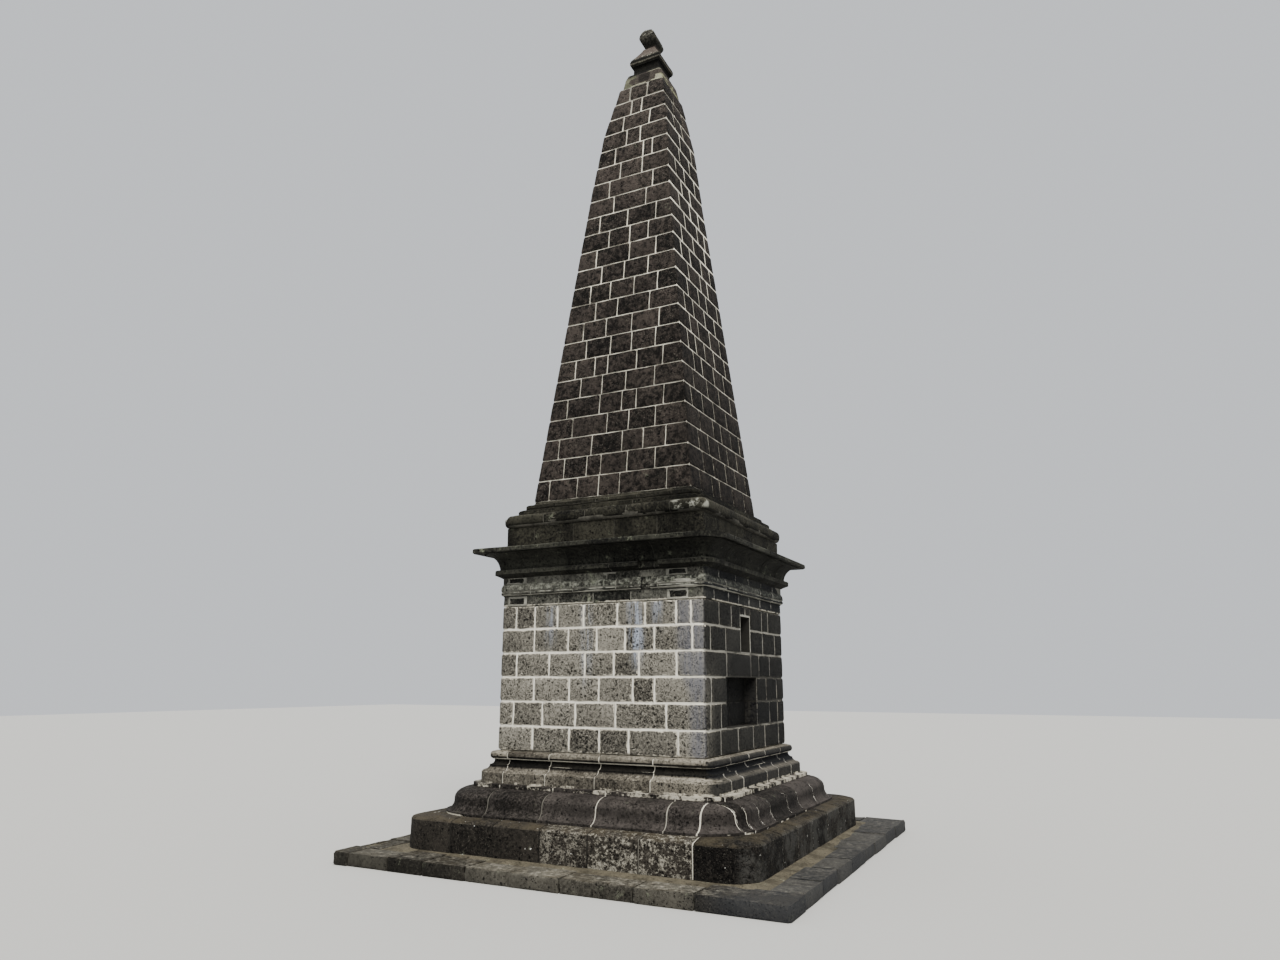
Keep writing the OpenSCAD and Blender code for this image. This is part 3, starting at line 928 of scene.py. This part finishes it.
cornice_stone = stone_finish("cornice_stone", (0.007, 0.0068, 0.006), (0.042, 0.042, 0.033),
                             pores=0.3, lime=0.0, lichen=0.38, damp=0.5, rugged=3.2)
marks = cornice_stone.cloud(26.0, 8.0, 0.80) + 0.12 * cornice_stone.facing("Y")
cornice_stone.stain_and_light(0.5 * marks.over(0.60, 0.66), (0.20, 0.20, 0.165))
cornice_look = cornice_stone.done()
cornice_joints = {
    "frieze_lower": [[-0.99, -0.78, -0.42, -0.05, 0.34, 0.70, 0.90],
                     [-0.84, -0.49, -0.23, 0.05, 0.37, 0.72]],
    "architrave": [[-0.72, -0.25, 0.20, 0.62], [-0.62, -0.18, 0.30, 0.70]],
    "frieze_upper": [[-0.99, -0.78, -0.37, 0.10, 0.45, 0.70, 0.90], [-0.76, -0.34, 0.02, 0.37, 0.74]],
    "cornice_bed": [[-0.78, -0.30, 0.16, 0.60], [-0.70, -0.22, 0.26, 0.72]],
    "corona": [[-0.98, -0.50, 0.02, 0.48, 0.96], [-0.90, -0.42, 0.06, 0.52, 0.98]],
}
insets = (-0.99, 0.70)
inset_wide = 0.166
cores = []
for node, joints in cornice_joints.items():
    low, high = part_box(node)
    inset = insets if node in ("frieze_lower", "frieze_upper") else ()
    margin = 0.016 if node == "frieze_lower" else 0.007
    stones = moulded_course(cornice_dice, node, joints, gap=0.008, wear=0.004,
                            left_out=[(0, left) for left in inset])
    for left in inset:
        stones.append(plain_stone(cornice_dice, 0, left + 0.018, left + 0.018 + inset_wide, low.z + margin,
                                  high.z - margin, plumb(high.x), back=0.002, margin=0.012))
        carry(stones[-1], "tone", -0.5)
    look = cornice_look if node in ("cornice_bed", "corona") else frieze_look
    finished(joined(stones, node + "_stones"), look, "cornice_stone", node)
    cores.append(mortar_core(node, node + "_mortar", sink=-0.004 if node == "cornice_bed" else 0.004))
# This mortar gets painted shade on the faces turned from the light.
cornice_lime = mortar_finish("cornice_lime", (0.17, 0.165, 0.14), (0.44, 0.43, 0.37), 0.45, side_shade=0.15)
height = cornice_lime.above("frieze_upper")
cornice_lime.shade(1 - 0.4 * height.over(-0.006, 0.004) - 0.45 * height.over(0.044, 0.124))
finished(joined(cores, "cornice_mortar"), cornice_lime.done(0.004), "mortar")


# The foot of the shaft: a square block, a torus with two broken corners and two fillets that
# lead up to the shaft, blackened like the cornice below.

foot_dice = random.Random(47)
foot_stone = stone_finish("shaft_foot_stone", (0.0045, 0.0042, 0.0034), (0.036, 0.034, 0.025),
                          pores=0.35, lime=0.0, lichen=0.26, damp=0.65, rugged=3.4)
broken = foot_stone.part("X").over(0.72, 0.80) + foot_stone.part("X").under(-1.02, -1.06)
broken = broken * foot_stone.part("Y").under(-0.98, -1.02)
broken = broken * foot_stone.above("shaft_torus").between(0.023, 0.053, 0.103, 0.133)
fresh = broken * foot_stone.cloud(9.0, 7.0, 0.75).over(0.46, 0.54)
foot_stone.stain_and_light(0.8 * fresh, (0.30, 0.30, 0.26))
foot_look = foot_stone.done()
foot_joints = {
    "shaft_plinth": [[-0.72, -0.28, 0.16, 0.60], [-0.66, -0.20, 0.24, 0.66]],
    "shaft_torus": [[-0.60, -0.14, 0.30, 0.74], [-0.50, -0.06, 0.40, 0.78]],
    "shaft_foot": [[-0.55, -0.10, 0.34, 0.70], [-0.60, -0.18, 0.26, 0.68]],
}
cores = []
for node, joints in foot_joints.items():
    stones = moulded_course(foot_dice, node, joints, gap=0.006, wear=0.004)
    finished(joined(stones, node + "_stones"), foot_look, "shaft_stone", node)
    cores.append(mortar_core(node, node + "_mortar"))
foot_lime = mortar_finish("shaft_foot_lime", (0.05, 0.047, 0.040), (0.16, 0.152, 0.127), 0.6)
finished(joined(cores, "shaft_foot_mortar"), foot_lime.done(0.004), "mortar")


# The shaft: twenty-three courses of squared stone that narrow as they rise, the last three more
# steeply, pointed with thin lime and worn along the four arrises.

shaft_dice = random.Random(71)
# The shaft stone gets painted shade on the faces turned from the light.
shaft_stone = stone_finish("shaft_stone", (0.0028, 0.0023, 0.0019), (0.044, 0.0358, 0.0305),
                           pores=0.6, lime=0.22, lichen=0.08, damp=0.35, side_shade=0.30, rugged=4.0,
                           varied=0.42, blotch=22.0)
shaft_stone.shade(0.95 + 0.45 * shaft_stone.part("Z").over(4.0, 8.2))
shaft_look = shaft_stone.done()
shaft_lime = mortar_finish("shaft_lime", (0.48, 0.45, 0.36), (0.92, 0.88, 0.76), 0.45)
under_head = shaft_lime.above("shaft_course_23").over(-0.025, 0.025)
shaft_lime.shade(0.74 + 0.40 * shaft_lime.part("Z").over(3.8, 6.0) - 0.65 * under_head)
shaft_front = [
    [-0.69, -0.37, -0.13, 0.10, 0.60],
    [-0.54, -0.28, -0.12, 0.17, 0.47],
    [-0.62, -0.24, 0.10, 0.33, 0.57],
    [-0.48, -0.08, 0.16, 0.45],
    [-0.56, -0.18, 0.07, 0.23, 0.53],
    [-0.42, -0.17, 0.10, 0.42],
    [-0.50, -0.27, -0.12, 0.21, 0.50],
    [-0.39, -0.10, 0.14, 0.41],
    [-0.44, -0.17, 0.13, 0.44],
    [-0.31, -0.05, 0.32],
    [-0.39, -0.15, 0.13, 0.40],
    [-0.27, 0.00, 0.28],
    [-0.35, 0.05, 0.36],
    [-0.21, 0.04, 0.26],
    [-0.34, 0.00, 0.34],
    [-0.18, 0.21],
    [-0.25, 0.28],
    [-0.13, 0.14],
    [-0.21, 0.14, 0.25],
    [-0.08, 0.09],
    [-0.14, 0.19],
    [-0.06, 0.07],
    [-0.10, 0.12],
]


def battered(foot_half, slope, foot_z):
    """The line of a wall that leans in as it rises."""
    return lambda z: foot_half - slope * (z - foot_z)


previous = [(), (), (), ()]
levels = []
for course, front in enumerate(shaft_front, 1):
    node = "shaft_course_%02d" % course
    low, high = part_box(node)
    middle = (low + high) / 2
    foot_half = (high.x - low.x) / 2
    head = [v.co.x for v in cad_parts[node].data.vertices if v.co.z > high.z - 0.001]
    head_half = max(head) - middle.x
    levels.append((low.z, foot_half, middle))
    wall = battered(foot_half, (foot_half - head_half) / (high.z - low.z), low.z)
    joints = [[x - middle.x for x in front]]
    joints += [bond(shaft_dice, head_half, 0.20, 0.36, previous[q]) for q in (1, 2, 3)]
    previous = joints
    stones = lay_course(shaft_dice, joints, low.z, high.z, wall, 0.0085 + 0.00035 * course, 0.014, 0.003)
    ring = joined(stones, node + "_stones")
    reshape_mesh(ring, mesh_of(ring) + np.array([middle.x, middle.y, 0.0]))
    finished(ring, shaft_look, "shaft_stone", node)
levels.append((high.z, head_half, middle))

rings = [levels[i] for i in (0, 17, 20, 23)]
shaft_mortar = square_block("shaft_mortar", 0.5, 0, len(rings) - 1)
with editing(shaft_mortar):
    for ring_z in range(1, len(rings) - 1):
        cut((0, 0, ring_z), (0, 0, 1))
core_points = mesh_of(shaft_mortar)
for point in core_points:
    level_z, half, middle = rings[round(point[2])]
    point[0] = middle.x + math.copysign(half - joint_deep, point[0])
    point[1] = middle.y + math.copysign(half - joint_deep, point[1])
    point[2] = level_z
reshape_mesh(shaft_mortar, core_points)
finished(shaft_mortar, shaft_lime.done(0.004), "mortar")


# The head of the shaft: a worn course, and on it a small cap and a finial with a four-sided foot
# and a bud. They lean over with the shaft, and every edge has weathered round.

top_stone = stone_finish("shaft_top_stone", (0.010, 0.0094, 0.0076), (0.092, 0.086, 0.068),
                         pores=0.35, lime=0.0, lichen=0.34, damp=0.3, rugged=3.2)
ragged = 0.05 * top_stone.cloud(14.0, 7.0, 0.7) - 0.025
height = top_stone.above("shaft_top")
in_finial = top_stone.above("finial")
across = top_stone.part("X")
wavy_height = height + ragged
front = top_stone.facing("Y").under(-0.3, -0.6)
top_stone.stain_and_light(0.5 * in_finial.between(0.03, 0.07, 0.21, 0.25), (0.115, 0.088, 0.078))
shadows = height.between(0.168, 0.180, 0.363, 0.367) + in_finial.between(-0.023, -0.019, 0.018, 0.024)
top_stone.shade(1 - 0.88 * (shadows + 0.6 * in_finial.between(0.20, 0.23, 0.27, 0.32)))
worn_course = height.between(0.0, 0.01, 0.172, 0.178)
top_stone.stain_and_light(0.45 * worn_course, (0.085, 0.066, 0.058))
dark_patch = (across + ragged).between(-0.03, 0.0, 0.12, 0.15) * front
top_stone.shade(1 - 0.65 * dark_patch * wavy_height.between(0.025, 0.045, 0.145, 0.165))
corner = wavy_height.between(0.002, 0.006, 0.075, 0.085) * (across + ragged).over(0.200, 0.210)
edge = height.between(0.164, 0.167, 0.172, 0.176) * across.over(0.08, 0.12)
bed = (height + 0.2 * ragged).under(0.018, 0.014) * across.over(-0.14, -0.11)
bed = bed * top_stone.cloud(7.0, 3.0).over(0.34, 0.42)
top_stone.stain_and_light(0.75 * (corner + edge + bed) * front, (0.46, 0.45, 0.33))
away = across.maths("ABSOLUTE", across - 0.028) + ragged
green = away.over(0.215, 0.235) * wavy_height.under(0.11, 0.08)
green = green * top_stone.cloud(12.0, 8.0, 0.75).over(0.50, 0.56)
top_stone.stain_and_light(0.7 * green, (0.36, 0.37, 0.22))
top_stone.shade(1 - 0.35 * in_finial.over(0.21, 0.25) - 0.25 * worn_course)
specks = in_finial.between(0.01, 0.03, 0.09, 0.11) + in_finial.over(0.37, 0.43)
specks = specks * top_stone.cloud(42.0, 2.0, 0.5).over(0.60, 0.64)
top_stone.stain_and_light(0.6 * specks, (0.42, 0.41, 0.34))
top_look = top_stone.done()
top_dice = random.Random(83)
top_joints = [[-0.05], [0.04], [-0.02], [0.03]]
stones = moulded_course(top_dice, "shaft_top", top_joints, gap=0.006, wear=0.005, depth=0.30, step=0.06)
finished(joined(stones, "shaft_top_stones"), top_look, "shaft_stone", "shaft_top")
# This mortar gets painted shade on the faces turned from the light.
top_lime = mortar_finish("shaft_top_lime", (0.09, 0.09, 0.06), (0.28, 0.28, 0.19), 0.5, side_shade=0.3)
top_lime.shade(1 - 0.7 * top_lime.facing("Z").over(0.1, 0.5))
finished(mortar_core("shaft_top", "shaft_top_mortar"), top_lime.done(0.004), "mortar")
head_axis = Vector((0.033, 0.016, 0))
for node in ("cap", "finial"):
    body = solid_copy(node, node + "_stone")
    weave(body, 0.035)
    with editing(body):
        bpy.ops.mesh.select_all(action="SELECT")
        bpy.ops.mesh.remove_doubles(threshold=0.0008)
    points = mesh_of(body)
    for point in points:
        place = Vector(point)
        worn = (noise.noise(place * 14.0) + 0.5 * noise.noise(place * 40.0) - 1.1) * 0.0025
        reach = (place - head_axis).xy
        if reach.length > 0.01:
            point[:2] += np.array(reach.normalized()) * worn
    reshape_mesh(body, points)
    stone_values(body, top_dice, 0.1, grit=0.35)
    finished(body, top_look, "shaft_stone", node)

for template in (plain_block, quoin_block):
    bpy.data.objects.remove(template)


# The camera stands at the photograph's place, in front of the lit face and to the right of it,
# 1.52 m above the ground and tilted up.

YAW, PITCH, ROLL = math.radians(26.935), math.radians(13.314), math.radians(0.098)
camera = bpy.data.objects.new("camera", bpy.data.cameras.new("camera"))
bpy.context.scene.collection.objects.link(camera)
ahead = Vector((-math.sin(YAW) * math.cos(PITCH), math.cos(YAW) * math.cos(PITCH), math.sin(PITCH)))
level_right = Vector((math.cos(YAW), math.sin(YAW), 0))
level_up = level_right.cross(ahead)
right = math.cos(ROLL) * level_right + math.sin(ROLL) * level_up
up = math.cos(ROLL) * level_up - math.sin(ROLL) * level_right
pose = Matrix((right, up, -ahead)).transposed().to_4x4()
pose.translation = Vector((3.891, -7.865, 1.519))
camera.matrix_world = pose
camera.data.sensor_width = 36
camera.data.lens = 24.08
bpy.context.scene.camera = camera


# The studio: a plain pale floor, a broad soft light from above and in front, and an even pale
# surround.

bpy.ops.mesh.primitive_plane_add(size=80, location=(0, 0, -0.001))
floor = bpy.context.object
floor.name = "studio_floor"
paper = Finish("pale_floor")
paper.colour = (0.50, 0.50, 0.485)
paper.rough = 0.9
paper.relief = paper.cloud(3.0)
floor.data.materials.append(paper.done(0.0005))

world = bpy.data.worlds.new("pale_surround")
bpy.context.scene.world = world
world.use_nodes = True
world.node_tree.nodes["Background"].inputs[0].default_value = (0.85, 0.88, 0.92, 1)
world.node_tree.nodes["Background"].inputs[1].default_value = 0.90
key = bpy.data.lights.new("key", "SUN")
key.energy = 5.1
key.angle = math.radians(35)
key.color = (1.0, 0.965, 0.90)
key_light = bpy.data.objects.new("key", key)
key_light.rotation_euler = Vector((-0.42, 0.60, -0.95)).to_track_quat("-Z", "Y").to_euler()
bpy.context.scene.collection.objects.link(key_light)
